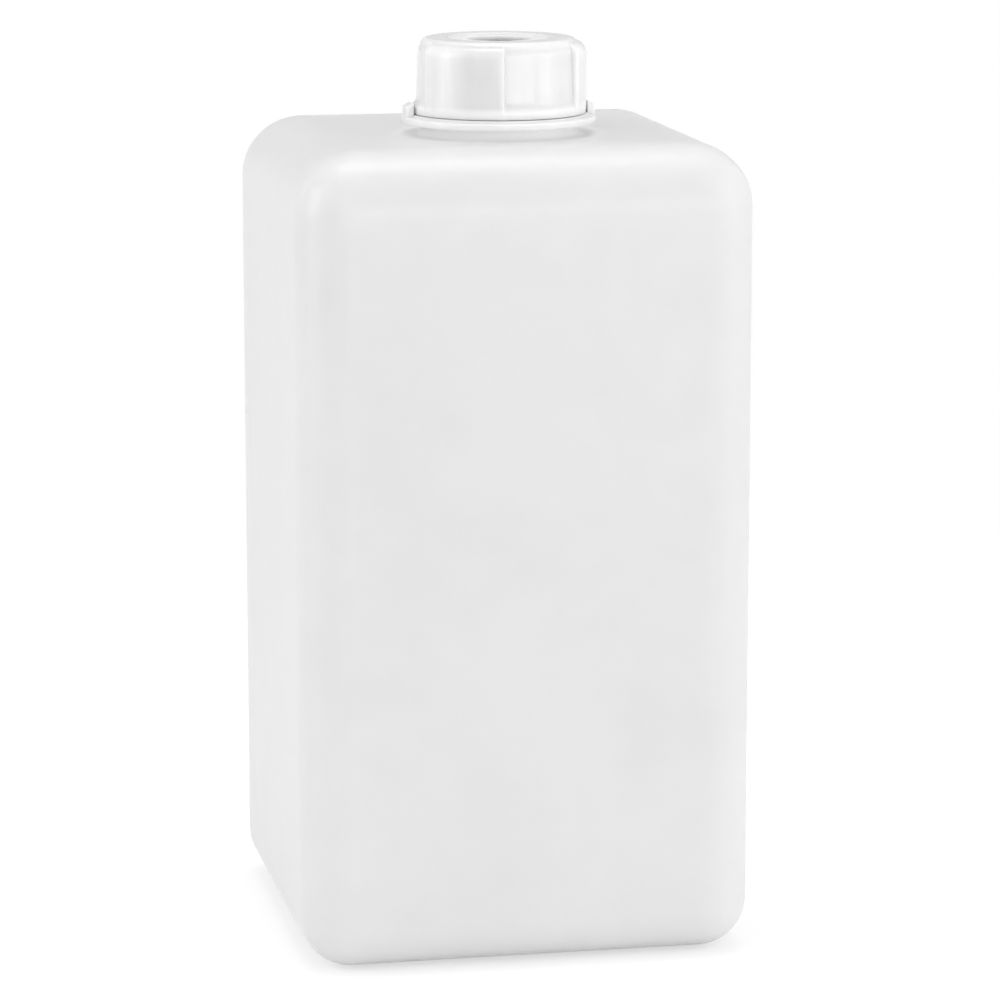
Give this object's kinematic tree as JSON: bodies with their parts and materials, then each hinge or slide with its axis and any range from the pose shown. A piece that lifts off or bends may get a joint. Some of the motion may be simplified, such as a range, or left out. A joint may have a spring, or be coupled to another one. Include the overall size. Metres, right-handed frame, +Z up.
{
  "type": "narrow-neck plastic bottle",
  "caption": "Square plastic bottle with soft edges and a narrow threaded neck set forward, closed by a screw cap with broad grips and a round hole over a sealing disc.",
  "frame": {"origin": "middle of the base, on the surface that the bottle stands on", "axes": "+Z up along the body; -Y is the front panel, and the neck stands forward of the middle; +X to the right as the front is seen"},
  "size_m": [0.087, 0.085, 0.1742],
  "materials": {
    "milky_polyethylene": "satin, slightly see-through, with the faint waviness of a blown wall",
    "glossy_polypropylene": "smooth, glossy and slightly see-through",
    "seal_foam": "soft and matte"
  },
  "bodies": {
    "bottle": {"bottle": "milky_polyethylene"},
    "seal": {"seal_disc": "seal_foam"},
    "cap": {"screw_cap": "glossy_polypropylene"}
  },
  "joints": [
    {"name": "cap_lift", "type": "slide", "parent": "bottle", "child": "seal", "axis": [0, 0, 1], "range_m": [0, 0.00631]},
    {"name": "cap_turn", "type": "hinge", "parent": "seal", "child": "cap", "pos_m": [0, -0.0086, 0.16], "axis": [0, 0, 1], "range_deg": [0, 540]}
  ],
  "couplings": [
    {"joint": "cap_lift", "follows": "cap_turn", "m_per_rad": 0.00066845}
  ]
}
